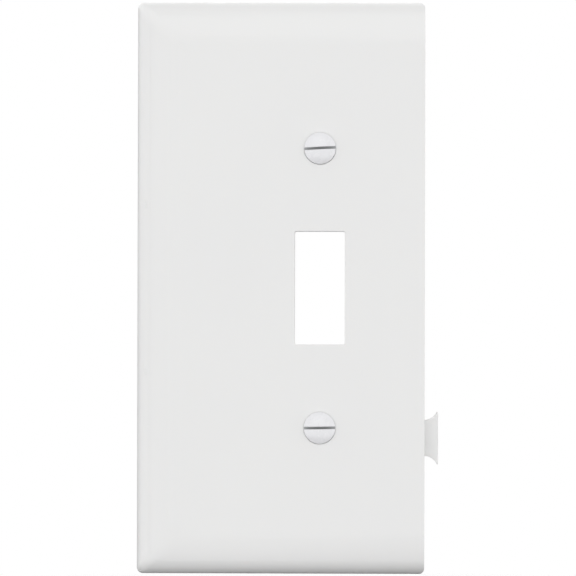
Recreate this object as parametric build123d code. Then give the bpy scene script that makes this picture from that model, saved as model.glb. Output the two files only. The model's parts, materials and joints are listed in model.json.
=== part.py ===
from build123d import *

import math
import os

# End section of a sectional wall plate, for one toggle switch.
#
# The plate is one plastic moulding. Three of its edges roll down to the wall. The fourth is square, and
# meets the next section along a wall of switches: it carries a fishtail tab below the middle and a
# matching socket above it, so an identical section turned upside down locks to it. Two oval-head screws
# hold the plate to the switch, and a thin slotted washer on each thread keeps the screw with the plate.
#
# Frame: X across the plate, Y into the wall, Z up, in millimetres. The origin is on the wall plane, midway
# between the two screws, which is also the middle of the toggle opening. The front faces -Y.

# --- The plate's outline and section ---
plate_height = 123.8  # the taller of the two common heights
rolled_side_reach = 39.6  # from the screws' line to the rolled side edge
gang_spacing = 46.04  # between the toggle openings of neighbouring sections
joint_gap = 0.7  # between the square edges of neighbouring sections
plate_depth = 6.4  # from the wall to the front face
face_thickness = 2.2
rim_thickness = 1.8  # of the rolled edges' walls, where they stand on the wall
joint_wall_thickness = 1.8
corner_radius = 1.3  # of the outline, seen from the front
corner_overrun = 0.04  # the corners are rounded from this far outside, so they cross the sides
square_edge_break = 0.5  # rounding of the square edge's front corner

# --- The rolled edge: a nearly flat crown, then a tight roll down to a short upright rim ---
crown_start = 8.6  # distance from the edge at which the face starts to fall away
crease_angle = 4.0  # slope of the crown where it leaves the face
roll_angle = 20.0  # slope where the crown becomes the roll
rim_height = 0.7  # of the upright foot of the roll
inner_slope_drop = 2.3  # height of the slope that joins a rolled edge's inside to the underside of the face
inner_slope_reach = 3.4  # how far in that slope runs

# --- Toggle opening ---
opening_width = 10.8
opening_height = 24.4
opening_corner_radius = 0.4
opening_edge_break = 0.15
collar_thickness = 1.2
collar_height = 1.8

# --- Screws: number 6, 32 threads to the inch, oval head ---
screw_spacing = 60.325
thread_crest_radius = 1.7525
thread_pitch = 25.4 / 32
thread_depth = 0.487
screw_length = 12.7  # from the head's widest edge to the point
head_radius = 3.4
head_cone_angle = 82.0
head_land = 0.15  # height of the short cylinder at the head's widest edge
head_crown_height = 1.05
slot_width = 0.8
slot_depth = 1.2
point_chamfer = 0.6
upper_slot_turn = 3.0  # degrees, as the two screws were left by the screwdriver
lower_slot_turn = 0.8

# --- Screw seats in the plate ---
head_overhang = 0.08  # the head's edge reaches this far over the seat's mouth
seat_clearance = 0.05  # between the head's cone and its seat
screw_hole_clearance = 0.2
boss_wall = 1.3
boss_end_height = 2.0  # above the wall, so that the boss clears the switch's strap

# --- Retaining washers ---
washer_radius = 3.9
washer_thickness = 0.5
washer_bore_clearance = 0.05
washer_side_clearance = 0.3  # between the washer and its boss
washer_slit_width = 0.4
washer_slit_length = 1.1
washer_slit_count = 6
washer_inset = 0.15  # of the washer inside its boss

# --- Fishtail tab and socket on the square edge ---
joint_offset = 32.4  # of the tab below the middle, and of the socket above it
tab_reach = 2.95
tab_root_half = 3.9
tab_flare = 1.75  # how much each side of the tab spreads from its root to its tip
tab_tip_flat = 0.25
tab_wall_gap = 0.3  # the tab stays this far in front of the wall
tab_thickness = 2.6
socket_clearance = 0.15
socket_wall = 2.0
socket_extra_depth = 0.5

# --- Ribs and mould marks on the back ---
rib_thickness = 1.2
long_rib_offset = 19.5  # from the screws' line, just past the switch's strap
long_rib_end_height = 0.8
cross_rib_end_height = 2.2
cross_rib_gap = 4.6  # from the opening's collar to the middle of the cross rib
mark_radius = 2.0
mark_depth = 0.15
mark_edge_distance = 11.9  # of the outer marks from the top and bottom edges
gate_radius = 0.9
gate_height = 0.5

# --- Values that follow: the rolled edge ---
crease_slope = math.radians(crease_angle)
roll_slope = math.radians(roll_angle)
mean_crown_slope = math.tan((crease_slope + roll_slope) / 2)
roll_radius = (plate_depth - rim_height - crown_start * mean_crown_slope) / (
    math.cos(roll_slope) - (1 - math.sin(roll_slope)) * mean_crown_slope
)
roll_reach = roll_radius * (1 - math.sin(roll_slope))  # how far in from the edge the roll runs
crown_radius = (crown_start - roll_reach) / (math.sin(roll_slope) - math.sin(crease_slope))
inner_face_height = plate_depth - face_thickness
inner_slope_start = inner_face_height - inner_slope_drop

# --- Values that follow: the screws and their seats ---
half_spacing = screw_spacing / 2
half_cone = math.radians(head_cone_angle / 2)
cone_slope = math.tan(half_cone)  # radius gained per millimetre of height
seat_mouth_radius = head_radius - head_overhang
head_edge_height = plate_depth + head_overhang / cone_slope + seat_clearance / math.sin(half_cone)
screw_hole_radius = thread_crest_radius + screw_hole_clearance
boss_bore_radius = washer_radius + washer_side_clearance
boss_radius = boss_bore_radius + boss_wall

# --- Values that follow: places on the plate ---
half_height = plate_height / 2
joint_side_reach = (gang_spacing - joint_gap) / 2  # from the screws' line to the square edge
joint_wall_inside = joint_side_reach - joint_wall_thickness
tab_tip_half = tab_root_half + tab_flare
socket_mouth = joint_side_reach + joint_gap  # where the neighbour's square edge lies
collar_half_width = opening_width / 2 + collar_thickness
collar_half_height = opening_height / 2 + collar_thickness
cross_rib_offset = collar_half_height + cross_rib_gap
mark_columns = (-(long_rib_offset + rolled_side_reach) / 2, (boss_radius + joint_wall_inside) / 2)
mark_rows = (mark_edge_distance - half_height, 0, half_height - mark_edge_distance)
gate_offset = -(collar_half_width + long_rib_offset) / 2
edge_tolerance = 1e-4  # for finding an edge by its place

# Section planes: their first axis runs along the plate, and their second is the height above the wall.
across = Plane(origin=(0, 0, 0), x_dir=(1, 0, 0), z_dir=(0, 0, -1))
upright = Plane(origin=(0, 0, 0), x_dir=(0, 0, 1), z_dir=(1, 0, 0))
from_wall = Plane.XZ  # seen from the front: an extrusion from it rises from the wall towards the viewer


def rolled_edge():
    """The outside of a rolled edge: up the rim, over the roll and along the crown to the face."""
    rim = Line((0, 0), (0, rim_height))
    roll = JernArc(rim @ 1, (0, 1), roll_radius, roll_angle - 90)
    crown = JernArc(roll @ 1, roll % 1, crown_radius, crease_angle - roll_angle)
    return Curve() + [rim, roll, crown]


def inner_edge():
    """The inside of a rolled edge: up the rim's inner wall, then sloping in to the underside of the face."""
    inner_wall = Line((rim_thickness, 0), (rim_thickness, inner_slope_start))
    slope = Line(inner_wall @ 1, (rim_thickness + inner_slope_reach, inner_face_height))
    return Curve() + [inner_wall, slope]


def closed_section(low_side, high_side):
    """A face bounded by two edge outlines, a line across their tops and a line along the wall."""
    corners = []
    for side in (low_side, high_side):
        ends = sorted((tuple(v) for v in side.vertices()), key=lambda p: p[1])
        corners.append((ends[0], ends[-1]))
    (low_foot, low_top), (high_foot, high_top) = corners
    edges = [*low_side.edges(), Line(low_top, high_top), *high_side.edges(), Line(high_foot, low_foot)]
    return make_face(edges)


def section_along(edge_outline):
    """The plate's section from bottom to top, with the same edge at both ends."""
    bottom = Pos(-half_height, 0) * edge_outline
    return closed_section(bottom, mirror(bottom, about=Plane.YZ))


def section_across(edge_outline, square_side, height):
    """The plate's section from its rolled side to its square side."""
    side = Pos(-rolled_side_reach, 0) * edge_outline
    return closed_section(side, Curve() + Line((square_side, 0), (square_side, height)))


def swept_tray(edge_outline, square_side, height):
    """Two crossed extrusions, whose common part has mitred corners."""
    tall = extrude(across * section_across(edge_outline, square_side, height), half_height, both=True)
    wide = extrude(upright * section_along(edge_outline), rolled_side_reach, both=True)
    return tall & wide


def upright_box(low, high, foot, top):
    """A block from (x, z) low to (x, z) high, standing between two heights above the wall."""
    size_x, size_z = high[0] - low[0], high[1] - low[1]
    middle = ((low[0] + high[0]) / 2, -(foot + top) / 2, (low[1] + high[1]) / 2)
    return Pos(*middle) * Box(size_x, top - foot, size_z)


def disc(x, z, radius, foot, top):
    """A cylinder at (x, z), standing between two heights above the wall."""
    return Pos(x, -(foot + top) / 2, z) * Rot(90, 0, 0) * Cylinder(radius, top - foot)


def fishtail(grow=0.0):
    """The tab's outline, from the square edge outwards, with concave sides; grow widens it all round."""
    rise = tab_tip_half - tab_root_half
    span = tab_reach - tab_tip_flat
    side_radius = (span**2 + rise**2) / (2 * rise)
    end_angle = math.degrees(math.asin(span / side_radius))
    side = JernArc((0, tab_root_half + grow), (1, 0), side_radius - grow, end_angle)
    tip = Line(side @ 1, (tab_reach + grow, (side @ 1).Y))
    end = Line(tip @ 1, (tab_reach + grow, 0))
    half = make_face([side, tip, end, Line(end @ 1, (0, 0)), Line((0, 0), side @ 0)])
    return half + mirror(half, about=Plane.XZ)


def risen(outline, foot, top):
    """An outline seen from the front, standing between two heights above the wall."""
    return Pos(0, -foot, 0) * extrude(from_wall * outline, top - foot)


def turned(profile):
    """A solid turned about the screw's axis, from a face of radius and height above the wall."""
    return revolve(across * profile, Axis((0, 0, 0), (0, -1, 0)))


def outer_form():
    """The solid outside of the plate: rolled edges with mitred corners, rounded in outline."""
    form = swept_tray(rolled_edge(), joint_side_reach, plate_depth)
    middle_x = (joint_side_reach - rolled_side_reach) / 2
    width = joint_side_reach + rolled_side_reach
    outline = RectangleRounded(width + 2 * corner_overrun, plate_height + 2 * corner_overrun, corner_radius)
    return form & risen(Pos(middle_x, 0) * outline, 0, plate_depth)


def boss(z):
    """A hollow post round one screw, in which its washer travels."""
    return disc(0, z, boss_radius, boss_end_height, plate_depth)


def screw_seat(z):
    """What one screw takes out of the plate: the cone for its head, its hole and the washer's chamber."""
    depth_of_cone = (seat_mouth_radius - screw_hole_radius) / cone_slope
    cone = Cone(screw_hole_radius, seat_mouth_radius, depth_of_cone)
    cone = Pos(0, -(plate_depth - depth_of_cone / 2), z) * Rot(90, 0, 0) * cone
    hole = disc(0, z, screw_hole_radius, 0, plate_depth)
    chamber = disc(0, z, boss_bore_radius, 0, inner_face_height)
    return cone + hole + chamber


def back_ribs():
    """Stiffening ribs: one long one beside the switch, and cross ribs either side of the opening."""
    half_rib = rib_thickness / 2
    long_low = (-long_rib_offset - half_rib, -half_height)
    long_high = (-long_rib_offset + half_rib, half_height)
    ribs = upright_box(long_low, long_high, long_rib_end_height, plate_depth)
    for z in (-cross_rib_offset, cross_rib_offset):
        low, high = (-rolled_side_reach, z - half_rib), (joint_side_reach, z + half_rib)
        ribs += upright_box(low, high, cross_rib_end_height, plate_depth)
    return ribs


def opening_collar():
    """A frame round the toggle opening, on the back of the face."""
    outline = Rectangle(2 * collar_half_width, 2 * collar_half_height)
    return risen(outline, inner_face_height - collar_height, plate_depth)


def opening_cut():
    """The toggle opening, right through the face and the collar."""
    return risen(RectangleRounded(opening_width, opening_height, opening_corner_radius), 0, plate_depth)


def socket_block():
    """The thickened part of the square edge's wall that the socket is cut into."""
    low = (socket_mouth - tab_reach - socket_clearance - socket_wall, joint_offset)
    half = tab_tip_half + socket_clearance + socket_wall
    return upright_box((low[0], low[1] - half), (joint_side_reach, low[1] + half), 0, plate_depth)


def socket_cut():
    """The fishtail pocket, open to the back and the square edge; it starts at the neighbour's edge."""
    pocket = risen(fishtail(socket_clearance), 0, tab_wall_gap + tab_thickness + socket_extra_depth)
    return Pos(socket_mouth, 0, joint_offset) * Rot(0, 180, 0) * pocket


def joint_tab():
    """The fishtail tab, standing out from the square edge behind the neighbour's face."""
    tab = risen(fishtail(), tab_wall_gap, tab_wall_gap + tab_thickness)
    return Pos(joint_side_reach, 0, -joint_offset) * tab


def mould_marks():
    """Shallow round dents that the ejector pins leave on the underside of the face."""
    top = inner_face_height + mark_depth
    return [disc(x, z, mark_radius, 0, top) for x in mark_columns for z in mark_rows]


def face_plate():
    """The moulding: a tray with its openings, seats, ribs, tab and socket."""
    form = outer_form()
    hollow = swept_tray(inner_edge(), joint_wall_inside, inner_face_height)
    back = back_ribs() + opening_collar() + socket_block()
    for z in (-half_spacing, half_spacing):
        back += boss(z)
    back += disc(gate_offset, 0, gate_radius, inner_face_height - gate_height, plate_depth)
    plate = (form - hollow) + (back & form)
    plate -= [opening_cut(), socket_cut(), *mould_marks()]
    plate -= [screw_seat(z) for z in (-half_spacing, half_spacing)]
    plate = soften_opening(plate)
    plate = soften_square_edge(plate)
    return plate + joint_tab()


def soften_opening(plate):
    """Rounds the toggle opening's front edge."""
    mouth = [
        edge
        for edge in plate.edges()
        if abs(edge.center().Y + plate_depth) < edge_tolerance
        and abs(edge.center().X) <= opening_width / 2 + edge_tolerance
        and abs(edge.center().Z) <= opening_height / 2 + edge_tolerance
    ]
    return fillet(mouth, opening_edge_break)


def soften_square_edge(plate):
    """Rounds the front corner of the square edge, over the face and down both rolled ends."""
    corner = [
        edge
        for edge in plate.edges()
        if all(abs(v.X - joint_side_reach) < edge_tolerance for v in edge.vertices())
        and edge.center().Y < -rim_height
        and abs(edge.center().Y + inner_face_height) > edge_tolerance
    ]
    return fillet(corner, square_edge_break)


def screw_profile():
    """Half of a screw's section: radius against height above the wall."""
    tip_height = head_edge_height - screw_length
    root = thread_crest_radius - thread_depth
    crest_flat, root_flat = thread_pitch / 8, thread_pitch / 4
    flank = (thread_pitch - crest_flat - root_flat) / 2
    cone_foot = head_edge_height - (head_radius - thread_crest_radius) / cone_slope
    points = [(0, tip_height), (thread_crest_radius - point_chamfer, tip_height)]
    height = tip_height + point_chamfer
    while height + thread_pitch < cone_foot:
        points += [
            (thread_crest_radius, height),
            (thread_crest_radius, height + crest_flat),
            (root, height + crest_flat + flank),
            (root, height + crest_flat + flank + root_flat),
        ]
        height += thread_pitch
    points += [(thread_crest_radius, height), (thread_crest_radius, cone_foot)]
    points += [(head_radius, head_edge_height), (head_radius, head_edge_height + head_land)]
    side = Polyline(*points)
    crown_top = (0, head_edge_height + head_land + head_crown_height)
    dome_radius = (head_radius**2 + head_crown_height**2) / (2 * head_crown_height)
    dome = RadiusArc(side @ 1, crown_top, -dome_radius)
    return make_face([*side.edges(), dome, Line(crown_top, (0, tip_height))])


def screw(z, slot_turn):
    """An oval-head screw whose thread is drawn as rings at the true pitch and depth."""
    top = head_edge_height + head_land + head_crown_height
    slot = upright_box((-head_radius, -slot_width / 2), (head_radius, slot_width / 2), top - slot_depth, top)
    return Pos(0, 0, z) * (turned(screw_profile()) - Rot(0, -slot_turn, 0) * slot)


def washer(z):
    """A thin disc, slit from its bore so that it grips the thread like fingers."""
    bore = thread_crest_radius + washer_bore_clearance
    foot = boss_end_height + washer_inset
    top = foot + washer_thickness
    ring = disc(0, 0, washer_radius, foot, top) - disc(0, 0, bore, foot, top)
    half_slit = washer_slit_width / 2
    slit = upright_box((0, -half_slit), (bore + washer_slit_length, half_slit), foot, top)
    for step in range(washer_slit_count):
        ring -= Rot(0, 360 * step / washer_slit_count, 0) * slit
    return Pos(0, 0, z) * ring


def single_solid(shape):
    """The one solid that a shape holds; a shape that fell apart stops the build."""
    solids = shape.solids()
    if len(solids) != 1:
        raise ValueError(f"expected one solid and found {len(solids)}")
    return solids[0]


def main():
    pieces = {
        "face_plate": face_plate(),
        "upper_screw": screw(half_spacing, upper_slot_turn),
        "lower_screw": screw(-half_spacing, lower_slot_turn),
        "upper_screw_washer": washer(half_spacing),
        "lower_screw_washer": washer(-half_spacing),
    }
    os.makedirs("parts", exist_ok=True)
    for name, shape in pieces.items():
        export_step(single_solid(shape), f"parts/{name}.step")


main()
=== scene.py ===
# %% [markdown]
# # A sectional wall plate, modelled as it is moulded
#
# This lesson builds the looks of a wall plate around its CAD model. The plate is one plastic moulding: three of its
# edges roll down to the wall, and the fourth is square, with a fishtail tab that locks into the next section. Two
# oval-head screws hold it, and a thin slit washer on each thread keeps the screw with the plate.
#
# The CAD model is the fixed frame: it says where each piece is and how it moves. Every piece made here takes its place
# from it and rides on one of its bodies. X runs across the plate, Y into the wall and Z up, so the front faces -Y.

# %% Load the CAD frame
import json
import math

import bmesh
import bpy
from mathutils import Matrix, Quaternion, Vector


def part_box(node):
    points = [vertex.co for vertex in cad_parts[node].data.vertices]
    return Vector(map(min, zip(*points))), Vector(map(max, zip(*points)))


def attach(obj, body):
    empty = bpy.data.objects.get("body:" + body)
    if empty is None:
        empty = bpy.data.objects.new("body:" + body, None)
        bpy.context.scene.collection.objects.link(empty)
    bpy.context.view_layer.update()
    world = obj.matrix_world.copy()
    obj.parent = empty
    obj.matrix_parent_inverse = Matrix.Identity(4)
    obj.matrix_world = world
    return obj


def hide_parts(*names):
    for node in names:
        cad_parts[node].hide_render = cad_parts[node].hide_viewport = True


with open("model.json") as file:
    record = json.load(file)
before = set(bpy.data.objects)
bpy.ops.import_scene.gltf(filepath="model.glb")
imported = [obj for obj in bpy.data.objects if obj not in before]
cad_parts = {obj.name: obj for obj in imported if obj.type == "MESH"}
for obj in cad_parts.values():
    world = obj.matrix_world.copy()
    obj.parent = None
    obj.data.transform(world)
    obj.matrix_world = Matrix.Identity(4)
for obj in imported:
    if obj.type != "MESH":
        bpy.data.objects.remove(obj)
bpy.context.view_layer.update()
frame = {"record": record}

# %% [markdown]
# ## Working in millimetres
#
# The drawing of a plate like this is in millimetres, so each shape is drawn in millimetres and one function turns it
# to metres at the end. Sizes that the CAD frame knows are read from it. Blender's mesh operators live in bmesh.ops: a
# shape starts as a grid, circle, cube or cone, and is then extruded, inset, spun, bevelled and cut.

# %% Units, places from the frame, and two small helpers
MM = 0.001
FINEST = 1e-6  # points of the fishtail's outline nearer than this are one point
FINE = 1e-5  # points of one outline nearer than this are one point
CLOSE = 1e-4  # the same for the hollowed tray, and how near its flat back lies to the wall
MERGE = 1e-3  # points of a finished piece nearer than this, a micron, are one point
ON_PLANE = 1e-3  # a point this near to a plane lies on it
PLACES = (("upper", 1), ("lower", -1))
mounts = {mount["name"]: mount for mount in frame["record"]["mounts"]}
plate_low, plate_high = (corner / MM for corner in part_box("face_plate"))
ROLLED_X = plate_low.x
SQUARE_X = mounts["square_edge"]["pos_m"][0] / MM
HALF_HEIGHT = plate_high.z
DEPTH = -plate_low.y
TAB_REACH = plate_high.x - SQUARE_X
SCREW_Z = mounts["device_screws"]["dims"]["spacing_y_mm"] / 2
THREAD_CREST = mounts["device_screws"]["dims"]["stud_r_mm"]
JOINT_Z = mounts["joint_socket"]["pos_m"][2] / MM


def as_object(name, bm):
    """Turns a bmesh into an object of the same name, with its faces pointing outwards."""
    bmesh.ops.recalc_face_normals(bm, faces=bm.faces)
    mesh = bpy.data.meshes.new(name)
    bm.to_mesh(mesh)
    bm.free()
    made = bpy.data.objects.new(name, mesh)
    bpy.context.scene.collection.objects.link(made)
    return made


def combined(target, tools, operation):
    """Joins tools to a target, or cuts them from it, with an exact Boolean, and removes the tools."""
    for tool in tools:
        step = target.modifiers.new("combine", "BOOLEAN")
        step.operation = operation
        step.solver = "EXACT"
        step.object = tool
    graph = bpy.context.evaluated_depsgraph_get()
    result = bpy.data.meshes.new_from_object(target.evaluated_get(graph))
    target.modifiers.clear()
    target.data = result
    for tool in tools:
        bpy.data.objects.remove(tool)


def cleaned(made):
    """Merges points less than a micron apart and drops faces without area, which Booleans leave behind."""
    bm = bmesh.new()
    bm.from_mesh(made.data)
    bmesh.ops.remove_doubles(bm, verts=bm.verts, dist=MERGE)
    bmesh.ops.dissolve_degenerate(bm, edges=bm.edges, dist=MERGE)
    bm.to_mesh(made.data)
    open_edges = sum(not edge.is_manifold for edge in bm.edges)
    volume = round(bm.calc_volume(), 1)
    print(made.name, len(bm.faces), "faces, open edges", open_edges, "volume", volume, "mm3")
    bm.free()


print("plate, mm: x", round(ROLLED_X, 2), "to", SQUARE_X, " z +-", round(HALF_HEIGHT, 2), " depth", round(DEPTH, 2))

# %% [markdown]
# ## The tray
#
# The plate's front is a flat face with three rolled edges. Seen in section, a rolled edge is a short upright rim, a
# tight roll, a long shallow crown and a soft crease where the crown meets the face. A repeated inset draws exactly
# that: each inset moves the outline in by one step and up by another, and with even offset the corners come out mitred,
# as they are on the mould. So the tray starts as one face on the wall plane, wider than the plate, and grows a
# ring at a time. The square edge is then a straight cut through it.

# %% The rolled edge's section, as steps inwards and upwards
RIM_HEIGHT = 0.7
CROWN_START = 8.6
CREASE_ANGLE, ROLL_ANGLE = math.radians(4), math.radians(20)
CREASE_SOFTENING = 0.7  # half the width over which the crease is rounded
ROLL_STEPS, CROWN_STEPS, CREASE_STEPS = 16, 8, 4
crown_tangent = math.tan((CREASE_ANGLE + ROLL_ANGLE) / 2)
roll_radius = (DEPTH - RIM_HEIGHT - CROWN_START * crown_tangent) / (
    math.cos(ROLL_ANGLE) - (1 - math.sin(ROLL_ANGLE)) * crown_tangent
)
roll_reach = roll_radius * (1 - math.sin(ROLL_ANGLE))
crown_radius = (CROWN_START - roll_reach) / (math.sin(ROLL_ANGLE) - math.sin(CREASE_ANGLE))


def arc_steps(radius, start, end, count):
    """Steps (inwards, upwards) along an arc whose slope falls from start to end."""
    steps = []
    for index in range(count):
        steep = start + (end - start) * index / count
        flat = start + (end - start) * (index + 1) / count
        steps.append((radius * (math.sin(steep) - math.sin(flat)), radius * (math.cos(flat) - math.cos(steep))))
    return steps


shortened = math.asin(math.sin(CREASE_ANGLE) + CREASE_SOFTENING / crown_radius)
edge_steps = arc_steps(roll_radius, math.pi / 2, ROLL_ANGLE, ROLL_STEPS)
edge_steps += arc_steps(crown_radius, ROLL_ANGLE, shortened, CROWN_STEPS)
climbed = RIM_HEIGHT + sum(rise for _, rise in edge_steps)
crease = arc_steps(1.0, shortened, 0.0, CREASE_STEPS)
crease_scale = (DEPTH - climbed) / sum(rise for _, rise in crease)
edge_steps += [(inwards * crease_scale, rise * crease_scale) for inwards, rise in crease]
print("radii, mm: roll", round(roll_radius, 2), "crown", round(crown_radius, 2), "in", len(edge_steps), "steps")

# %% Grow the outside from one face, and mark the square edge's cut
CUT_ALLOWANCE = 20.0  # the blank is this much wider than the plate, and loses it at the square cut
blank_half_width = (SQUARE_X + CUT_ALLOWANCE - ROLLED_X) / 2
blank_middle = ROLLED_X + blank_half_width
tray = bmesh.new()
bmesh.ops.create_grid(tray, x_segments=1, y_segments=1, size=1, matrix=Matrix.Rotation(math.pi / 2, 4, "X"))
bmesh.ops.scale(tray, vec=(blank_half_width, 1, HALF_HEIGHT), verts=tray.verts)
bmesh.ops.translate(tray, vec=(blank_middle, 0, 0), verts=tray.verts)
risen = bmesh.ops.extrude_face_region(tray, geom=tray.faces[:])["geom"]
moved = [part for part in risen if isinstance(part, bmesh.types.BMVert)]
bmesh.ops.translate(tray, vec=(0, -RIM_HEIGHT, 0), verts=moved)
bmesh.ops.recalc_face_normals(tray, faces=tray.faces)
front = [face for face in tray.faces if face.calc_center_median().y < -0.9 * RIM_HEIGHT and face.normal.y < -0.9]
for inwards, rise in edge_steps:
    bmesh.ops.inset_region(tray, faces=front, thickness=inwards, depth=rise, use_even_offset=True)
print("outside:", len(tray.faces), "faces, front at", round(min(v.co.y for v in tray.verts), 3), "mm")


def sliced(bm, point, normal):
    """Cuts away what lies beyond a plane and closes the cut with one face."""
    bmesh.ops.bisect_plane(
        bm, geom=bm.verts[:] + bm.edges[:] + bm.faces[:], dist=FINE, plane_co=point, plane_no=normal,
        clear_outer=True,
    )
    open_edges = [edge for edge in bm.edges if edge.is_boundary]
    bmesh.ops.holes_fill(bm, edges=open_edges, sides=0)


sliced(tray, (SQUARE_X, 0, 0), (1, 0, 0))
print("after the square cut:", len(tray.faces), "faces")

# %% [markdown]
# ## The hollow back
#
# The inside of the tray has a flat band where the rim stands on the wall, a straight inner wall, and a slope up to the
# underside of the face. It is made from the back face by the same kind of inset, this time downwards into the
# plastic. On the square side there is no slope, so the points of the last ring there are moved back to the wall.

# %% Sink the back
WALL = 1.8
FACE_THICKNESS = 2.2
INNER_SLOPE_DROP, INNER_SLOPE_REACH = 2.3, 3.4
INNER_CORNER = 0.9
inner_height = DEPTH - FACE_THICKNESS
back = [face for face in tray.faces if all(abs(v.co.y) < CLOSE for v in face.verts)]
bmesh.ops.inset_region(tray, faces=back, thickness=WALL, use_even_offset=True)
bmesh.ops.inset_region(tray, faces=back, depth=-(inner_height - INNER_SLOPE_DROP))
bmesh.ops.inset_region(tray, faces=back, thickness=INNER_SLOPE_REACH, depth=-INNER_SLOPE_DROP, use_even_offset=True)
deepest = [v for v in back[0].verts if v.co.x > 0]
bmesh.ops.translate(tray, vec=(INNER_SLOPE_REACH, 0, 0), verts=deepest)
bmesh.ops.remove_doubles(tray, verts=tray.verts, dist=FINE)
print("tray with its hollow:", len(tray.faces), "faces, open edges", sum(e.is_boundary for e in tray.edges))

# %% [markdown]
# ## Soft corners
#
# A mould is cut with round tools, so no edge of a moulding is perfectly sharp. The mitre ridges get a bevel that is
# also the rounding of the plate's outline; the corners of the hollow, the rim's foot and the square edge get smaller
# ones. On the square side the outline's rounding comes from a few cuts, because there it crosses the roll.

# %% Round the mitres, the hollow's corners, the square side and the foot
OUTLINE_CORNER = 1.3
FOOT_BREAK = 0.18
SQUARE_BREAK = 0.5
CORNER_CUTS = 8
LEAST_LEAN = 0.05  # an edge along a mitre is a ridge or a corner only if its faces lean at least this much outwards


def rounded(bm, edges, radius, segments):
    """Rounds edges, the same way along their whole length."""
    bmesh.ops.bevel(
        bm, geom=edges, offset=radius, offset_type="OFFSET", segments=segments, profile=0.5, affect="EDGES",
        material=-1, clamp_overlap=True,
    )


def mitre_edges(bm, facing_out):
    """The edges along the two mitres: the outside's ridges, or the hollow's corners."""
    found = []
    for edge in bm.edges:
        first, second = (v.co for v in edge.verts)
        across = [abs((point.x - ROLLED_X) - (HALF_HEIGHT - abs(point.z))) for point in (first, second)]
        if first.z * second.z < 0 or max(across) > ON_PLANE or len(edge.link_faces) != 2:
            continue
        outwards = Vector((-1, 0, math.copysign(1, first.z)))
        lean = sum((face.normal for face in edge.link_faces), Vector()).dot(outwards)
        if abs(lean) > LEAST_LEAN and (lean > 0) == facing_out:
            found.append(edge)
    return found


tray.normal_update()
rounded(tray, mitre_edges(tray, True), OUTLINE_CORNER, 6)
tray.normal_update()
rounded(tray, mitre_edges(tray, False), INNER_CORNER, 4)
for end in (-1, 1):
    for cut in range(CORNER_CUTS):
        turn = math.pi / 2 * (cut + 0.5) / CORNER_CUTS
        outwards = Vector((math.cos(turn), 0, end * math.sin(turn)))
        centre = Vector((SQUARE_X - OUTLINE_CORNER, 0, end * (HALF_HEIGHT - OUTLINE_CORNER)))
        sliced(tray, centre + OUTLINE_CORNER * outwards, outwards)
tray.normal_update()
square_front = [
    edge for edge in tray.edges
    if len(edge.link_faces) == 2 and edge.calc_face_angle() > math.radians(30)
    and all(v.co.x > SQUARE_X - OUTLINE_CORNER / 2 and -v.co.y > RIM_HEIGHT + SQUARE_BREAK for v in edge.verts)
]
rounded(tray, square_front, SQUARE_BREAK, 6)
tray.normal_update()
foot_edges = [
    edge for edge in tray.edges
    if all(abs(v.co.y) < ON_PLANE for v in edge.verts) and edge.calc_face_angle() > math.radians(60)
]
rounded(tray, foot_edges, FOOT_BREAK, 2)
bmesh.ops.remove_doubles(tray, verts=tray.verts, dist=CLOSE)
bmesh.ops.dissolve_degenerate(tray, edges=tray.edges, dist=CLOSE)
print("rounded tray:", len(tray.faces), "faces, open edges", sum(not e.is_manifold for e in tray.edges))
plate = as_object("moulded_plate", tray)

# %% [markdown]
# ## What stands on the back
#
# The back carries stiffening ribs, a frame round the toggle opening, a hollow boss round each screw, the block that
# the socket is cut into, and the small nub where the plastic was let into the mould. Each is a shape of its own, a
# little thinner at its free end so that it leaves the mould, and each starts inside the plastic of the tray. An exact
# Boolean then joins them into one skin.

# %% Blocks and turned shapes
ROOT_OVERLAP = 0.6  # how far a rib or boss starts inside the face
DRAFT = 0.12  # how much a rib's side grows from its free end to its root


def sharp_edges(bm, height):
    """A shape's edges at one height above the wall that turn by more than 60 degrees."""
    bm.normal_update()
    return [
        edge for edge in bm.edges
        if all(abs(-v.co.y - height) < ON_PLANE for v in edge.verts) and edge.calc_face_angle(0) > math.radians(60)
    ]


def block(name, x_range, z_range, foot, top, grow_x=DRAFT, grow_z=DRAFT, soft=0.2):
    """A block between two heights above the wall; its root is wider than its foot by grow_x and grow_z a side."""
    size = (x_range[1] - x_range[0], top - foot, z_range[1] - z_range[0])
    middle = Vector((sum(x_range) / 2, -(foot + top) / 2, sum(z_range) / 2))
    bm = bmesh.new()
    bmesh.ops.create_cube(bm, size=1)
    bmesh.ops.scale(bm, vec=size, verts=bm.verts)
    for vert in bm.verts:
        if vert.co.y < 0:
            vert.co.x += grow_x * math.copysign(1, vert.co.x)
            vert.co.z += grow_z * math.copysign(1, vert.co.z)
    bmesh.ops.translate(bm, vec=middle, verts=bm.verts)
    if soft:
        rounded(bm, sharp_edges(bm, foot), soft, 3)
    return as_object(name, bm)


def turned(name, section, x=0.0, z=0.0, segments=96, soft_foot=0.0):
    """A shape turned about an axis along Y, from (radius, height above the wall) points that start and end on it."""
    bm = bmesh.new()
    points = [bm.verts.new((radius, -height, 0)) for radius, height in section]
    line = [bm.edges.new(pair) for pair in zip(points, points[1:])]
    bmesh.ops.spin(
        bm, geom=points + line, cent=(0, 0, 0), axis=(0, 1, 0), angle=2 * math.pi, steps=segments, use_merge=True
    )
    bmesh.ops.remove_doubles(bm, verts=bm.verts, dist=FINE)
    if soft_foot:
        rounded(bm, sharp_edges(bm, section[0][1]), soft_foot, 3)
    bmesh.ops.translate(bm, vec=(x, 0, z), verts=bm.verts)
    return as_object(name, bm)


print("a block and a turned shape are ready")

# %% [markdown]
# ## The fishtail
#
# The tab's sides are hollow arcs, so it is narrow at its root and wide at its tip, like a fish's tail. One corner point
# is spun to draw the arc; a mirrored copy gives the other side. The same outline, grown by the clearance, cuts the
# socket that the neighbour's tab drops into.

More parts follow.
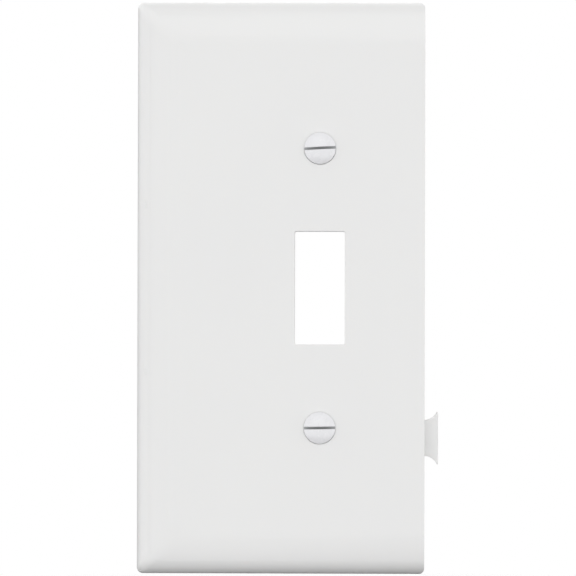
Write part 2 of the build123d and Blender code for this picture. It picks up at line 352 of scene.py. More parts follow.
# %% Draw the fishtail
TAB_ROOT_HALF, TAB_FLARE, TAB_TIP_FLAT = 3.9, 1.75, 0.25
TAB_GAP, TAB_THICKNESS = 0.3, 2.6
SOCKET_CLEARANCE, SOCKET_WALL, SOCKET_EXTRA_DEPTH = 0.15, 2.0, 0.5
GANG_SPACING = 46.04
SOCKET_X = GANG_SPACING - SQUARE_X  # the neighbour's square edge lies here
fishtail_span = TAB_REACH - TAB_TIP_FLAT
fishtail_radius = (fishtail_span**2 + TAB_FLARE**2) / (2 * TAB_FLARE)
fishtail_turn = math.asin(fishtail_span / fishtail_radius)


def fishtail(name, root_x, z, facing, grow, root_overlap, foot, top, soft=0.0):
    """A fishtail block that faces +X or -X from a square edge."""
    bm = bmesh.new()
    corner = bm.verts.new((0, -foot, TAB_ROOT_HALF + grow))
    inner = bm.verts.new((-root_overlap, -foot, TAB_ROOT_HALF + grow))
    bm.edges.new((inner, corner))
    bmesh.ops.spin(
        bm, geom=[corner], cent=(0, -foot, TAB_ROOT_HALF + fishtail_radius), axis=(0, -1, 0),
        angle=fishtail_turn, steps=10,
    )
    bmesh.ops.remove_doubles(bm, verts=bm.verts, dist=FINEST)
    side_end = max(bm.verts, key=lambda v: v.co.x)
    tip = bm.verts.new((TAB_REACH + grow, -foot, side_end.co.z))
    bm.edges.new((side_end, tip))
    bmesh.ops.mirror(bm, geom=bm.verts[:] + bm.edges[:], matrix=Matrix.Identity(4), merge_dist=-1, axis="Z")
    for end in (min, max):
        x = end(v.co.x for v in bm.verts)
        bm.edges.new([v for v in bm.verts if abs(v.co.x - x) < FINEST])
    outline = bmesh.ops.contextual_create(bm, geom=bm.edges[:])["faces"]
    risen = bmesh.ops.extrude_face_region(bm, geom=outline)["geom"]
    moved = [part for part in risen if isinstance(part, bmesh.types.BMVert)]
    bmesh.ops.translate(bm, vec=(0, foot - top, 0), verts=moved)
    bmesh.ops.recalc_face_normals(bm, faces=bm.faces)
    if soft:
        rounded(bm, sharp_edges(bm, foot) + sharp_edges(bm, top), soft, 2)
    bmesh.ops.scale(bm, vec=(facing, 1, 1), verts=bm.verts)
    bmesh.ops.translate(bm, vec=(root_x, 0, z), verts=bm.verts)
    return as_object(name, bm)


print("fishtail side radius", round(fishtail_radius, 2), "mm, turn", round(math.degrees(fishtail_turn), 1), "degrees")

# %% Join the ribs, frame, bosses, socket block, nub and tab to the tray
OPENING_WIDTH, OPENING_HEIGHT, OPENING_CORNER, OPENING_BREAK = 10.8, 24.4, 0.4, 0.15
COLLAR, COLLAR_HEIGHT = 1.2, 1.8
RIB, LONG_RIB_X, LONG_RIB_FOOT = 1.2, -19.5, 0.8
CROSS_RIB_GAP, CROSS_RIB_FOOT = 4.6, 2.2
BOSS_BORE, BOSS_WALL, BOSS_FOOT = 4.2, 1.3, 2.0
RIB_END, RIB_END_LEAN = 1.2, 1.8  # how near a rib comes to the outline at its foot, and how far its root stays back
CROSS_RIB_INSET = 0.6  # a cross rib stops this much earlier, as its foot is deeper in the hollow
SOCKET_FOOT = 0.05
GATE_TIP, GATE_RADIUS, GATE_HEIGHT = 0.55, 0.9, 0.5
root = inner_height + ROOT_OVERLAP
collar_x, collar_z = OPENING_WIDTH / 2 + COLLAR, OPENING_HEIGHT / 2 + COLLAR
cross_rib_z = collar_z + CROSS_RIB_GAP
long_end = HALF_HEIGHT - RIB_END
added = [
    block("long_rib", (LONG_RIB_X - RIB / 2, LONG_RIB_X + RIB / 2), (-long_end, long_end), LONG_RIB_FOOT, root,
          grow_z=-RIB_END_LEAN),
    block("collar", (-collar_x, collar_x), (-collar_z, collar_z), inner_height - COLLAR_HEIGHT, root),
    block("socket_block", (SOCKET_X - TAB_REACH - SOCKET_CLEARANCE - SOCKET_WALL, SQUARE_X - WALL / 2),
          (JOINT_Z - TAB_ROOT_HALF - TAB_FLARE - SOCKET_CLEARANCE - SOCKET_WALL,
           JOINT_Z + TAB_ROOT_HALF + TAB_FLARE + SOCKET_CLEARANCE + SOCKET_WALL), SOCKET_FOOT, root, soft=0.15),
    turned("gate_nub", [(0, inner_height - GATE_HEIGHT), (GATE_TIP, inner_height - GATE_HEIGHT), (GATE_RADIUS, root),
                        (0, root)], x=-(collar_x - LONG_RIB_X) / 2, segments=32),
    fishtail("tab", SQUARE_X, -JOINT_Z, 1, 0.0, WALL / 2, TAB_GAP, TAB_GAP + TAB_THICKNESS, soft=0.12),
]
for end in (-1, 1):
    middle = end * cross_rib_z
    added.append(block(f"cross_rib_{end}", (ROLLED_X + RIB_END + CROSS_RIB_INSET, SQUARE_X - WALL / 2),
                       (middle - RIB / 2, middle + RIB / 2), CROSS_RIB_FOOT, root, grow_x=0))
    added.append(turned(f"boss_{end}", [(0, BOSS_FOOT), (BOSS_BORE + BOSS_WALL, BOSS_FOOT),
                                        (BOSS_BORE + BOSS_WALL + DRAFT, root), (0, root)],
                        z=end * SCREW_Z, soft_foot=0.25))
combined(plate, added, "UNION")
print("plate with its back pieces:", len(plate.data.polygons), "faces")

# %% [markdown]
# ## What is cut out
#
# The toggle opening has a rounded mouth, which the cutter carries as a flare. The screw seats are turned shapes: a
# rounded mouth, the cone for the oval head, the hole for the thread and the chamber that the washer travels in. Six
# shallow discs are where the mould's pins pushed the plate out.

# %% Make the cutters and cut
HEAD_RADIUS, HEAD_CONE, HEAD_OVERHANG = 3.4, math.radians(41), 0.08
HOLE_CLEARANCE, SEAT_BREAK = 0.2, 0.05
OPENING_STEPS = 6
SEAT_DROP = 0.13  # the seats are this much wider and lower than the heads, for a thin shadow under each head
BORE_LEAD_IN = 0.2  # the boss's mouth opens by this much, to guide the washer in
MARK_RADIUS, MARK_DEPTH, MARK_EDGE = 2.0, 0.15, 11.9
OVERSHOOT, OVERLAP = 1.0, 0.5  # how far a cutter goes past the outside, and past a wall inside
cone_slope = math.tan(HEAD_CONE)
seat_mouth = HEAD_RADIUS - HEAD_OVERHANG + SEAT_DROP
hole_radius = THREAD_CREST + HOLE_CLEARANCE + SEAT_DROP / 2
cone_bottom = DEPTH - (seat_mouth - hole_radius) / cone_slope


def opening_cutter():
    """The toggle opening's cutter: a rounded rectangle that flares at the front by a quarter circle."""
    bm = bmesh.new()
    bmesh.ops.create_grid(bm, x_segments=1, y_segments=1, size=1, matrix=Matrix.Rotation(math.pi / 2, 4, "X"))
    bmesh.ops.scale(bm, vec=(OPENING_WIDTH / 2, 1, OPENING_HEIGHT / 2), verts=bm.verts)
    bmesh.ops.bevel(
        bm, geom=bm.verts[:], offset=OPENING_CORNER, offset_type="OFFSET", segments=OPENING_STEPS, profile=0.5,
        affect="VERTICES", material=-1,
    )
    bmesh.ops.translate(bm, vec=(0, OVERSHOOT, 0), verts=bm.verts)
    heights = [(0.0, OVERSHOOT + DEPTH - OPENING_BREAK)]
    for index in range(OPENING_STEPS):
        start, end = (math.pi / 2 * (index + add) / OPENING_STEPS for add in (0, 1))
        spread = OPENING_BREAK * (math.cos(start) - math.cos(end))
        heights.append((spread, OPENING_BREAK * (math.sin(end) - math.sin(start))))
    heights.append((0.0, OVERSHOOT))
    cap = bm.faces[:]
    for step, (spread, rise) in enumerate(heights):
        risen = bmesh.ops.extrude_face_region(bm, geom=cap)["geom"]
        if step:
            bmesh.ops.delete(bm, geom=cap, context="FACES")
        cap = [part for part in risen if isinstance(part, bmesh.types.BMFace)]
        ring = [part for part in risen if isinstance(part, bmesh.types.BMVert)]
        bmesh.ops.translate(bm, vec=(0, -rise, 0), verts=ring)
        for vert in ring:
            vert.co.x += math.copysign(spread, vert.co.x)
            vert.co.z += math.copysign(spread, vert.co.z)
    return as_object("opening_cutter", bm)


cutters = [opening_cutter(), fishtail("socket", SOCKET_X, JOINT_Z, -1, SOCKET_CLEARANCE, OVERSHOOT, -OVERSHOOT,
                                      TAB_GAP + TAB_THICKNESS + SOCKET_EXTRA_DEPTH)]
for end in (-1, 1):
    cutters.append(turned(f"seat_{end}", [
        (0, -OVERSHOOT), (BOSS_BORE + BORE_LEAD_IN, -OVERSHOOT), (BOSS_BORE + BORE_LEAD_IN, BOSS_FOOT),
        (BOSS_BORE, BOSS_FOOT + BORE_LEAD_IN), (BOSS_BORE, inner_height), (0, inner_height),
    ], z=end * SCREW_Z))
    cutters.append(turned(f"hole_{end}", [
        (0, inner_height - OVERLAP), (hole_radius, inner_height - OVERLAP), (hole_radius, cone_bottom),
        (seat_mouth - SEAT_BREAK * cone_slope, DEPTH - SEAT_BREAK), (seat_mouth, DEPTH - 0.4 * SEAT_BREAK),
        (seat_mouth + SEAT_BREAK, DEPTH + ON_PLANE), (seat_mouth + SEAT_BREAK, DEPTH + OVERSHOOT),
        (0, DEPTH + OVERSHOOT),
    ], z=end * SCREW_Z - SEAT_DROP))
mark_columns = ((LONG_RIB_X + ROLLED_X) / 2, (BOSS_BORE + BOSS_WALL + SQUARE_X - WALL) / 2)
for column, x in enumerate(mark_columns):
    for row in (-1, 0, 1):
        cutters.append(turned(f"mark_{column}_{row}", [
            (0, inner_height - OVERLAP), (MARK_RADIUS, inner_height - OVERLAP),
            (MARK_RADIUS, inner_height + 0.6 * MARK_DEPTH),
            (MARK_RADIUS - 0.4 * MARK_DEPTH, inner_height + MARK_DEPTH), (0, inner_height + MARK_DEPTH),
        ], x=x, z=row * (HALF_HEIGHT - MARK_EDGE), segments=48))
combined(plate, cutters, "DIFFERENCE")
print("plate with its cuts:", len(plate.data.polygons), "faces")

# %% [markdown]
# ## Shading the moulding
#
# The plate is many small flat faces. Smooth shading blends them, and edges that turn sharply stay crisp. The Weighted
# Normal modifier lets the large faces decide the shading, so the flat face stays flat right up to its rounded edges.
# The mould's show side is polished and its other side is not, so the faces are told apart here: what looks forward, or
# lies on the outline, was shaped by the show side.

# %% Finish the plate
SHARP = math.radians(38)
EDGE_NEARNESS = 0.25
FACING = 0.05  # a face whose normal leans forward by more than this looks forward


def finished(made, body, nodes, materials):
    """Brings a piece to metres, shades it smooth between its sharp edges, and puts it in the CAD frame's place."""
    cleaned(made)
    mesh = made.data
    mesh.transform(Matrix.Scale(MM, 4))
    mesh.shade_smooth()
    mesh.set_sharp_from_angle(angle=SHARP)
    weigh = made.modifiers.new("weighted_normals", "WEIGHTED_NORMAL")
    weigh.mode = "FACE_AREA"
    weigh.keep_sharp = True
    for material in materials:
        mesh.materials.append(material)
    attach(made, body)
    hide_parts(nodes)
    return made


def on_show_side(face):
    """True where the polished half of the mould shaped a face."""
    x, y, z = face.center
    near_outline = min(x - ROLLED_X, SQUARE_X - x, HALF_HEIGHT - abs(z)) < EDGE_NEARNESS
    return face.normal.y < -FACING or (near_outline and y < -FOOT_BREAK)


for face in plate.data.polygons:
    face.material_index = 0 if on_show_side(face) else 1
shares = [sum(face.material_index == index for face in plate.data.polygons) for index in (0, 1)]
print("faces on the show side and on the back:", shares)

# %% [markdown]
# ## Oval-head screws
#
# The head is turned: a low dome, a thin land and an 82 degree cone. The slot is cut twice. A flat-floored block makes
# the slot itself, and a shallow flared channel, spun about the dome's centre so that it follows the dome, softens its
# lips as the enamel does. The thread is a ridge with a V section, spun round the core while it climbs by one pitch a
# turn; its ends sink into the core.

# %% Turn, slot and thread the screws
SCREW_LENGTH = 12.7
HEAD_LAND, HEAD_CROWN, HEAD_EDGE_BREAK = 0.15, 1.05, 0.1
SLOT_WIDTH, SLOT_FLOOR_WIDTH, SLOT_DEPTH = 0.8, 0.52, 1.23
THREAD_PITCH, THREAD_DEPTH, POINT_CHAMFER = 25.4 / 32, 0.487, 0.6
CORE_CHAMFER = 0.35 * POINT_CHAMFER
NECK_STEP, NECK_TAPER = 0.1, 0.3
DOME_STEPS, EDGE_STEPS = 14, 4
TURN_STEPS = 32  # steps in one turn of the thread
THREAD_SINK = 0.06  # how far the ridge's root lies inside the core
SLOT_TURNS = {"upper": math.radians(3.0), "lower": math.radians(0.8)}
ENAMEL_REACH = 0.35  # the enamel goes this far down the cone; below it the zinc is bare
# Deeper in the slot than this, the grey painted shade takes the place of the white enamel.
LIP_DEPTH = 0.15  # the slot's lips are enamelled to this depth
dome_radius = (HEAD_RADIUS**2 + HEAD_CROWN**2) / (2 * HEAD_CROWN)
thread_root = THREAD_CREST - THREAD_DEPTH


def head_section(edge_height):
    """(radius, height) points of a screw's outline from the dome's middle to the tip, without its thread."""
    dome_centre = edge_height + HEAD_LAND + HEAD_CROWN - dome_radius
    widest = math.asin((HEAD_RADIUS - HEAD_EDGE_BREAK) / dome_radius)
    points = []
    for index in range(DOME_STEPS + 1):
        angle = widest * index / DOME_STEPS
        points.append((dome_radius * math.sin(angle), dome_centre + dome_radius * math.cos(angle)))
    land_top = points[-1][1] - HEAD_EDGE_BREAK
    for index in range(1, EDGE_STEPS + 1):
        angle = widest + (math.pi / 2 - widest) * index / EDGE_STEPS
        radius = HEAD_RADIUS - HEAD_EDGE_BREAK * (1 - math.sin(angle)) / (1 - math.sin(widest))
        points.append((radius, land_top + HEAD_EDGE_BREAK * math.cos(angle) / math.cos(widest)))
    neck = thread_root + NECK_STEP
    points.append((HEAD_RADIUS, edge_height + 0.03))
    points.append((HEAD_RADIUS - 0.04, edge_height - 0.02))
    points.append((neck, edge_height - (HEAD_RADIUS - neck) / cone_slope))
    points.append((thread_root, edge_height - (HEAD_RADIUS - neck) / cone_slope - NECK_TAPER))
    tip = edge_height - SCREW_LENGTH
    points.append((thread_root, tip + CORE_CHAMFER))
    points.append((thread_root - CORE_CHAMFER, tip))
    points.append((0, tip))
    return points


def thread(name, start, end, z):
    """The thread's ridge: a V section spun up a helix between two heights, with ends that sink into the core."""
    turns = (start - end) / THREAD_PITCH
    steps = int(turns * TURN_STEPS)
    inner = thread_root - THREAD_SINK
    half_root, half_crest = THREAD_PITCH * 0.44, THREAD_PITCH * 0.07
    bm = bmesh.new()
    outline = [(inner, half_root), (THREAD_CREST, half_crest), (THREAD_CREST, -half_crest), (inner, -half_root)]
    corners = [bm.verts.new((radius, -start - across, 0)) for radius, across in outline]
    cap = bm.faces.new(corners)
    bmesh.ops.spin(
        bm, geom=[cap], cent=(0, 0, 0), axis=(0, 1, 0), dvec=(0, THREAD_PITCH / TURN_STEPS, 0),
        angle=2 * math.pi * steps / TURN_STEPS, steps=steps,
    )
    bmesh.ops.recalc_face_normals(bm, faces=bm.faces)
    for vert in bm.verts:
        radius = math.hypot(vert.co.x, vert.co.z)
        if radius > thread_root:
            sunk = max(0.0, 1 - min(start + vert.co.y, -end - vert.co.y) / (0.8 * THREAD_PITCH))
            scale = (radius - (THREAD_DEPTH + 0.04) * min(1.0, sunk)) / radius
            vert.co.x *= scale
            vert.co.z *= scale
    bmesh.ops.translate(bm, vec=(0, 0, z), verts=bm.verts)
    return as_object(name, bm)


def slot_block(name, apex, turn, z):
    """The slot's flat-floored block."""
    bm = bmesh.new()
    bmesh.ops.create_cube(bm, size=1)
    bmesh.ops.scale(bm, vec=(3 * HEAD_RADIUS, SLOT_DEPTH + 1, SLOT_FLOOR_WIDTH), verts=bm.verts)
    bmesh.ops.translate(bm, vec=(0, -(apex - SLOT_DEPTH) - (SLOT_DEPTH + 1) / 2, 0), verts=bm.verts)
    bmesh.ops.rotate(bm, cent=(0, 0, 0), matrix=Matrix.Rotation(-turn, 3, "Y"), verts=bm.verts)
    bmesh.ops.translate(bm, vec=(0, 0, z), verts=bm.verts)
    return as_object(name, bm)


def slot_lips(name, apex, turn, z):
    """A channel with quarter-round sides, spun about the dome's centre, that softens the slot's lips."""
    bm = bmesh.new()
    lip = (SLOT_WIDTH - SLOT_FLOOR_WIDTH) / 2
    side = [(SLOT_FLOOR_WIDTH / 2 - 0.05, dome_radius - lip)]  # starts in the slot, and crosses its wall
    for index in range(1, 6):
        angle = math.pi / 2 * index / 5
        side.append((SLOT_FLOOR_WIDTH / 2 + lip * (1 - math.cos(angle)), dome_radius - lip * (1 - math.sin(angle))))
    side.append((SLOT_WIDTH / 2 + 0.02, dome_radius + 0.3))
    outline = side + [(-across, out) for across, out in reversed(side)]
    cap = bm.faces.new([bm.verts.new((0, -out, across)) for across, out in outline])
    sweep = math.radians(80)
    bmesh.ops.rotate(bm, cent=(0, 0, 0), matrix=Matrix.Rotation(-sweep / 2, 3, "Z"), verts=bm.verts)
    bmesh.ops.spin(bm, geom=[cap], cent=(0, 0, 0), axis=(0, 0, 1), angle=sweep, steps=40)
    bmesh.ops.translate(bm, vec=(0, dome_radius - apex, 0), verts=bm.verts)
    bmesh.ops.rotate(bm, cent=(0, 0, 0), matrix=Matrix.Rotation(-turn, 3, "Y"), verts=bm.verts)
    bmesh.ops.translate(bm, vec=(0, 0, z), verts=bm.verts)
    return as_object(name, bm)


screws = {}
for place, end in PLACES:
    z = end * SCREW_Z
    edge_height = SCREW_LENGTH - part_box(f"{place}_screw")[1].y / MM
    apex = edge_height + HEAD_LAND + HEAD_CROWN
    screw = turned(f"{place}_oval_head_screw", head_section(edge_height), z=z, segments=96)
    thread_start = edge_height - (HEAD_RADIUS - thread_root) / cone_slope - 0.2 * THREAD_PITCH
    thread_end = edge_height - SCREW_LENGTH + POINT_CHAMFER * 0.6
    turn = SLOT_TURNS[place]
    slot = [slot_block("slot_block", apex, turn, z), slot_lips("slot_lips", apex, turn, z)]
    combined(screw, slot, "DIFFERENCE")
    combined(screw, [thread(f"{place}_thread", thread_start, thread_end, z)], "UNION")
    across_slot = Vector((-math.sin(turn), 0, math.cos(turn)))
    dome_centre = Vector((0, dome_radius - apex, z))
    for face in screw.data.polygons:
        from_dome = face.center - dome_centre
        between_walls = abs(from_dome.dot(across_slot)) < SLOT_FLOOR_WIDTH / 2 + 0.01
        in_slot_painted_shade = between_walls and from_dome.length < dome_radius - LIP_DEPTH
        # Cone faces below the enamel take the zinc. Faces deep in the slot take the grey painted shade, which darkens
        # the slot the way its shade would. The rest take the white enamel.
        face.material_index = 1 if -face.center.y < edge_height - ENAMEL_REACH else 2 if in_slot_painted_shade else 0
    screws[place] = screw
    print(screw.name, len(screw.data.polygons), "faces")

# %% [markdown]
# ## Slit washers
#
# A thin nylon washer grips each thread behind the plate, so the screw stays with its plate in the packet. Six slits
# from the bore leave short fingers that bend over the thread.

# %% Turn and slit the washers
WASHER_SLIT, WASHER_SLIT_REACH, WASHER_BREAK = 0.4, 1.1, 0.1
washers = {}
for place, end in PLACES:
    low, high = (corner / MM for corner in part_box(f"{place}_screw_washer"))
    near, far = -low.y, -high.y
    outer = (high.x - low.x) / 2
    bore = THREAD_CREST + 0.05
    z = end * SCREW_Z
    b = WASHER_BREAK
    ring = [
        (bore, far + b / 2), (bore + b / 2, far), (outer - b, far), (outer - 0.3 * b, far + 0.3 * b),
        (outer, far + b), (outer, near - b), (outer - 0.3 * b, near - 0.3 * b), (outer - b, near),
        (bore + b / 2, near), (bore, near - b / 2),
    ]
    washer = turned(f"{place}_slit_washer", ring + ring[:1], z=z, segments=96)
    slits = []
    for index in range(6):
        bm = bmesh.new()
        bmesh.ops.create_cube(bm, size=1)
        bmesh.ops.scale(bm, vec=(WASHER_SLIT_REACH + 1.0, 2, WASHER_SLIT), verts=bm.verts)
        upright = [edge for edge in bm.edges if all(v.co.x > 0 for v in edge.verts) and
                   abs(edge.verts[0].co.y - edge.verts[1].co.y) > 1]
        rounded(bm, upright, WASHER_SLIT * 0.45, 4)
        middle = bore + WASHER_SLIT_REACH - (WASHER_SLIT_REACH + 1.0) / 2
        bmesh.ops.translate(bm, vec=(middle, -(near + far) / 2, 0), verts=bm.verts)
        bmesh.ops.rotate(bm, cent=(0, 0, 0), matrix=Matrix.Rotation(math.pi / 3 * index, 3, "Y"), verts=bm.verts)
        bmesh.ops.translate(bm, vec=(0, 0, z), verts=bm.verts)
        slits.append(as_object(f"slit_{index}", bm))
    combined(washer, slits, "DIFFERENCE")
    washers[place] = washer
    print(washer.name, len(washer.data.polygons), "faces")

# %% [markdown]
# ## Materials
#
# Each finish is a Principled shader with its constants on the shader's own sockets. The patterns use Object
# coordinates, which are metres in the frame, so a noise scale of one over its size in metres gives that real size.

# %% Material helpers
def linear(code):
    """The linear colour of an sRGB hex code."""
    channels = [int(code[index:index + 2], 16) / 255 for index in (1, 3, 5)]
    return [c / 12.92 if c <= 0.04045 else ((c + 0.055) / 1.055) ** 2.4 for c in channels] + [1]


def add_node(tree, kind, label, **values):
    """Adds a node and sets its named input sockets, or its properties where there is no such socket."""
    node = tree.nodes.new(kind)
    node.label = label
    for key, value in values.items():
        if key in node.inputs:
            node.inputs[key].default_value = value
        else:
            setattr(node, key, value)
    return node


def start_material(name, **constants):
    """A material whose Principled shader holds the given constants, and its tree, shader and Object coordinates."""
    material = bpy.data.materials.new(name)
    material.use_nodes = True
    tree = material.node_tree
    shader = tree.nodes["Principled BSDF"]
    for socket, value in constants.items():
        shader.inputs[socket.replace("_", " ")].default_value = value
    place = add_node(tree, "ShaderNodeTexCoord", "Place on the piece")
    return material, tree, shader, place.outputs["Object"]


def noise(tree, place, label, size_mm, detail=2.0, roughness=0.5):
    """A noise pattern whose features are about size_mm across."""
    node = add_node(tree, "ShaderNodeTexNoise", label, Scale=1000 / size_mm, Detail=detail, Roughness=roughness)
    tree.links.new(place, node.inputs["Vector"])
    return node.outputs["Fac"]


def ranged(tree, value, label, low, high, from_low=0.3, from_high=0.7):
    """Maps a pattern to a range of values."""
    node = add_node(tree, "ShaderNodeMapRange", label, clamp=True)
    for socket, number in (("From Min", from_low), ("From Max", from_high), ("To Min", low), ("To Max", high)):
        node.inputs[socket].default_value = number
    tree.links.new(value, node.inputs["Value"])
    return node.outputs["Result"]


def tinted(tree, shader, factor, label, first, second):
    """Blends two base colours by a pattern."""
    node = add_node(tree, "ShaderNodeMix", label, data_type="RGBA")
    colours = [socket for socket in node.inputs if socket.type == "RGBA"]
    colours[0].default_value, colours[1].default_value = linear(first), linear(second)
    tree.links.new(factor, node.inputs["Factor"])
    blended = next(socket for socket in node.outputs if socket.type == "RGBA")
    tree.links.new(blended, shader.inputs["Base Color"])


def bumped(tree, shader, steps):
    """Chains bumps; each step is (height pattern, label, depth in mm, strength)."""
    normal = None
    for height, label, depth_mm, strength in steps:
        node = add_node(tree, "ShaderNodeBump", label, Strength=strength, Distance=depth_mm * MM)
        tree.links.new(height, node.inputs["Height"])
        if normal:
            tree.links.new(normal, node.inputs["Normal"])
        normal = node.outputs["Normal"]
    tree.links.new(normal, shader.inputs["Normal"])


print("helpers ready; white #E9E9E7 is", [round(c, 3) for c in linear("#E9E9E7")[:3]], "in linear light")

# %% White moulded plastic
def white_plastic(name, roughness, grain_mm):
    """Injection-moulded white plastic. Its surface takes the mould's finish, so the sides differ in roughness."""
    material, tree, shader, place = start_material(
        name, IOR=1.5, Subsurface_Weight=0.06, Subsurface_Scale=0.0008, Specular_IOR_Level=0.5
    )
    shader.inputs["Subsurface Radius"].default_value = (1.0, 0.9, 0.8)
    # Pigment is never perfectly mixed: a faint drift over a few centimetres keeps the face from looking flat.
    drift = noise(tree, place, "Pigment drift", 26, detail=3)
    tinted(tree, shader, drift, "White, a little uneven", "#E8E8E8", "#EBEBEA")
    # Handling and mould wear leave patches that are slightly glossier, which the eye reads in the soft highlights.
    patches = noise(tree, place, "Polish patches", 7, detail=4)
    gloss = ranged(tree, patches, "Gloss range", roughness - 0.04, roughness + 0.05)
    tree.links.new(gloss, shader.inputs["Roughness"])
    # Shrinkage waves the surface by microns over a few millimetres; the fine grain is the mould's own finish.
    waves = noise(tree, place, "Shrinkage waves", 9, detail=1)
    grain = noise(tree, place, "Mould grain", grain_mm, detail=2)
    bumped(tree, shader, [(waves, "Shrinkage bump", 0.02, 0.15), (grain, "Grain bump", 0.004, 0.25)])
    return material


show_plastic = white_plastic("white_urea_plastic_polished_side", 0.4, 0.4)
back_plastic = white_plastic("white_urea_plastic_core_side", 0.52, 0.25)
print("plastic:", show_plastic.name, back_plastic.name)

# %% Baked white enamel on the screw heads
enamel, tree, shader, place = start_material(
    "baked_white_enamel_on_steel", IOR=1.52, Specular_IOR_Level=0.5, Coat_Weight=0.3, Coat_Roughness=0.12
)
# Sprayed enamel pools and thins, so its white drifts a little from place to place on the head.
film = noise(tree, place, "Film thickness", 1.6, detail=3)
tinted(tree, shader, film, "Enamel white", "#E8E8EB", "#EBEBED")
tree.links.new(ranged(tree, film, "Enamel gloss", 0.24, 0.3), shader.inputs["Roughness"])
# Orange peel from spraying and baking: shallow dimples about half a millimetre across.
peel = noise(tree, place, "Orange peel", 0.55, detail=1)
bumped(tree, shader, [(peel, "Orange peel bump", 0.006, 0.3)])
print("enamel:", enamel.name)

# %% Painted shade in the slots: a grey film
slot_painted_shade, tree, shader, place = start_material("grey_painted_shade_over_enamel_in_slot", IOR=1.52, Metallic=0.2)
# Painted shade: the slot's faces get a grey film, darker than the head's white enamel, so the slot reads as the dark
# line its shade makes; the spray also leaves only a light coat on the steel there.
thin = noise(tree, place, "Mottle of the grey painted shade", 0.5, detail=3)
tinted(tree, shader, thin, "Grey painted shade", "#9C9EA0", "#B6B7B8")
tree.links.new(ranged(tree, thin, "Slot gloss", 0.4, 0.6), shader.inputs["Roughness"])
bumped(tree, shader, [(thin, "Thin film bump", 0.005, 0.3)])
print("slot:", slot_painted_shade.name)

# %% Bright zinc plate on the threads
zinc, tree, shader, place = start_material("bright_zinc_plate_on_steel", Metallic=1.0, IOR=2.5)
# Clear chromate over zinc goes faintly blue in places, and rolled threads are scuffed along their length.
chromate = noise(tree, place, "Chromate tint", 2.2, detail=3)
tinted(tree, shader, chromate, "Zinc, cool to neutral", "#B9BDC3", "#C9C9C6")
scuff = noise(tree, place, "Rolling scuffs", 0.5, detail=4, roughness=0.6)
tree.links.new(ranged(tree, scuff, "Zinc gloss", 0.22, 0.42), shader.inputs["Roughness"])
bumped(tree, shader, [(scuff, "Scuff bump", 0.004, 0.2)])
print("zinc:", zinc.name)

# %% Natural nylon washers
nylon, tree, shader, place = start_material(
    "natural_nylon_die_cut", IOR=1.53, Subsurface_Weight=0.25, Subsurface_Scale=0.001
)
shader.inputs["Subsurface Radius"].default_value = (1.0, 0.9, 0.7)
# Undyed nylon is a warm milky white that yellows unevenly with age.
milk = noise(tree, place, "Milky unevenness", 3.0, detail=2)
tinted(tree, shader, milk, "Natural nylon", "#D6D0BF", "#DEDACC")
tree.links.new(ranged(tree, milk, "Nylon gloss", 0.42, 0.55), shader.inputs["Roughness"])
sheet_grain = noise(tree, place, "Sheet grain", 0.3, detail=2)
bumped(tree, shader, [(sheet_grain, "Sheet grain bump", 0.004, 0.3)])
print("nylon:", nylon.name)

# %% Put every piece in its place
finished(plate, "face_plate", "face_plate", [show_plastic, back_plastic])
for place in ("upper", "lower"):
    finished(screws[place], f"{place}_screw", f"{place}_screw", [enamel, zinc, slot_painted_shade])
    finished(washers[place], f"{place}_washer", f"{place}_screw_washer", [nylon])

# %% [markdown]
# ## Camera, light and floor
#
# A long lens from a little below, as for a catalogue picture of a plate against white. The light is soft and comes from
# nearly everywhere, with one large panel in front. Only a patch below and behind the plate is dark, so the face and
# most of each rolled edge stay white, and the underside of the lower roll draws a thin dark line.

# %% Camera
CAMERA_DISTANCE, VIEW_WIDTH = 1.0, 0.12505
CAMERA_RIGHT, CAMERA_DROP, CAMERA_ROLL = math.radians(0.9), math.radians(0.3), math.radians(0.13)
AIM = Vector((-0.00695, 0, 0.00002))
camera_data = bpy.data.cameras.new("camera")
camera_data.sensor_width = 36
camera_data.lens = 36 * CAMERA_DISTANCE / VIEW_WIDTH
camera_data.clip_start, camera_data.clip_end = 0.01, 20
camera = bpy.data.objects.new("camera", camera_data)
bpy.context.scene.collection.objects.link(camera)
level = math.cos(CAMERA_DROP)
back_off = Vector((math.sin(CAMERA_RIGHT) * level, -math.cos(CAMERA_RIGHT) * level, -math.sin(CAMERA_DROP)))
camera.location = AIM + CAMERA_DISTANCE * back_off
camera.rotation_mode = "QUATERNION"
camera.rotation_quaternion = (-back_off).to_track_quat("-Z", "Y") @ Quaternion((0, 0, 1), CAMERA_ROLL)
bpy.context.scene.camera = camera
bpy.context.scene.view_settings.view_transform = "Standard"
print("lens", round(camera_data.lens, 1), "mm at", round(camera.location.y, 3), "m")

# %% Sky and panel
world = bpy.data.worlds.new("studio")
world.use_nodes = True
bpy.context.scene.world = world
tree = world.node_tree
tree.nodes.clear()
direction = add_node(tree, "ShaderNodeTexCoord", "Direction")
axes = add_node(tree, "ShaderNodeSeparateXYZ", "Axes")
tree.links.new(direction.outputs["Generated"], axes.inputs["Vector"])
SKY_BASE, SKY_BEHIND, SKY_BELOW = 1.49, 0.5, 0.8  # strength, and what it gains straight behind and straight below
DARK_LEAN = math.radians(28.6)  # the dark patch lies below and this far behind, so only steep undersides lose light
DARK_INSIDE, DARK_OUTSIDE = 0.29, 0.22
grade = add_node(tree, "ShaderNodeMath", "Brighter behind", operation="MULTIPLY_ADD")
grade.inputs[1].default_value, grade.inputs[2].default_value = SKY_BEHIND, SKY_BASE
tree.links.new(axes.outputs["Y"], grade.inputs[0])
lift = add_node(tree, "ShaderNodeMath", "Brighter towards the floor", operation="MULTIPLY_ADD")
lift.inputs[1].default_value = -SKY_BELOW
tree.links.new(axes.outputs["Z"], lift.inputs[0])
tree.links.new(grade.outputs[0], lift.inputs[2])
beneath = add_node(tree, "ShaderNodeVectorMath", "How near the dark's middle", operation="DOT_PRODUCT")
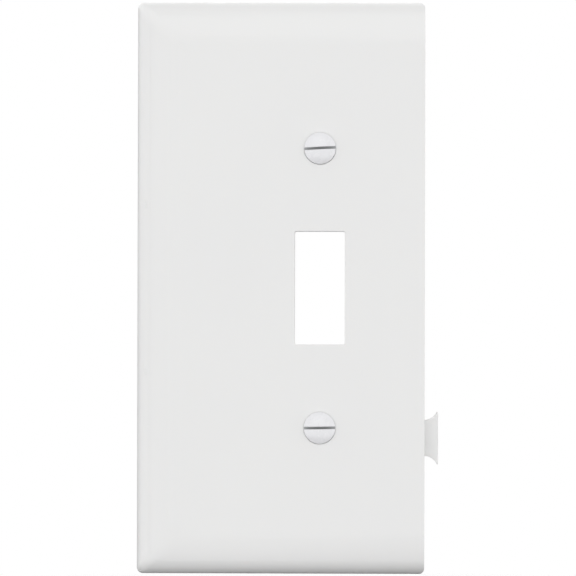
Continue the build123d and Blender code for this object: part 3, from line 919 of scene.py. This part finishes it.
beneath.inputs[1].default_value = (0, math.sin(DARK_LEAN), -math.cos(DARK_LEAN))
tree.links.new(direction.outputs["Generated"], beneath.inputs[0])
dark = add_node(tree, "ShaderNodeMapRange", "Dark beneath and behind", interpolation_type="SMOOTHSTEP")
for socket, number in (("From Min", DARK_OUTSIDE), ("From Max", DARK_INSIDE), ("To Min", 1), ("To Max", 0)):
    dark.inputs[socket].default_value = number
tree.links.new(beneath.outputs["Value"], dark.inputs["Value"])
strength = add_node(tree, "ShaderNodeMath", "Sky outside the dark", operation="MULTIPLY")
tree.links.new(lift.outputs[0], strength.inputs[0])
tree.links.new(dark.outputs["Result"], strength.inputs[1])
sky = add_node(tree, "ShaderNodeBackground", "Soft sky", Color=(1, 1, 1, 1))
tree.links.new(strength.outputs[0], sky.inputs["Strength"])
backdrop = add_node(tree, "ShaderNodeBackground", "White backdrop", Color=(1, 1, 1, 1), Strength=1.0)
paths = add_node(tree, "ShaderNodeLightPath", "Seen or lighting")
mixed = add_node(tree, "ShaderNodeMixShader", "White where seen, sky where lighting")
tree.links.new(paths.outputs["Is Camera Ray"], mixed.inputs[0])
tree.links.new(sky.outputs["Background"], mixed.inputs[1])
tree.links.new(backdrop.outputs["Background"], mixed.inputs[2])
out = add_node(tree, "ShaderNodeOutputWorld", "World")
tree.links.new(mixed.outputs["Shader"], out.inputs["Surface"])


def panel(name, location, aim, width, height, watts, colour):
    """A soft rectangular light that faces a point."""
    data = bpy.data.lights.new(name, "AREA")
    data.shape = "RECTANGLE"
    data.size, data.size_y = width, height
    data.energy = watts
    data.color = linear(colour)[:3]
    light = bpy.data.objects.new(name, data)
    bpy.context.scene.collection.objects.link(light)
    light.location = location
    light.rotation_mode = "QUATERNION"
    light.rotation_quaternion = (Vector(aim) - Vector(location)).to_track_quat("-Z", "Y")
    light.visible_camera = False
    return light


panel("key_panel", location=(-0.12, -0.95, 0.68), aim=(0, 0, 0), width=1.0, height=0.7, watts=1.5,
      colour="#FFFFFF")

# %% Floor
FLOOR_Z, FLOOR_RADIUS = -0.070, 0.22
FADE_START, FADE_END = 0.07, 0.15  # distances from the plate's middle
floor_mesh = bmesh.new()
bmesh.ops.create_circle(floor_mesh, cap_ends=True, segments=96, radius=FLOOR_RADIUS)
bmesh.ops.translate(floor_mesh, vec=(0, 0, FLOOR_Z), verts=floor_mesh.verts)
floor = as_object("floor", floor_mesh)
paper, tree, shader, place = start_material("pale_matt_paper", Roughness=0.9, IOR=1.45)
shader.inputs["Base Color"].default_value = linear("#F2F2F2")
fibre = noise(tree, place, "Paper fibre", 0.6, detail=4)
bumped(tree, shader, [(fibre, "Fibre bump", 0.01, 0.2)])
flat_place = add_node(tree, "ShaderNodeVectorMath", "On the floor", operation="MULTIPLY")
flat_place.inputs[1].default_value = (1, 1, 0)
tree.links.new(place, flat_place.inputs[0])
reach = add_node(tree, "ShaderNodeVectorMath", "Distance from the plate", operation="LENGTH")
tree.links.new(flat_place.outputs["Vector"], reach.inputs[0])
fade = ranged(tree, reach.outputs["Value"], "Fades into the backdrop", 1.0, 0.0, FADE_START, FADE_END)
tree.links.new(fade, shader.inputs["Alpha"])
floor.data.materials.append(paper)
floor.visible_diffuse = floor.visible_glossy = floor.visible_shadow = False  # the light stays even from below
print("floor at", FLOOR_Z, "m")
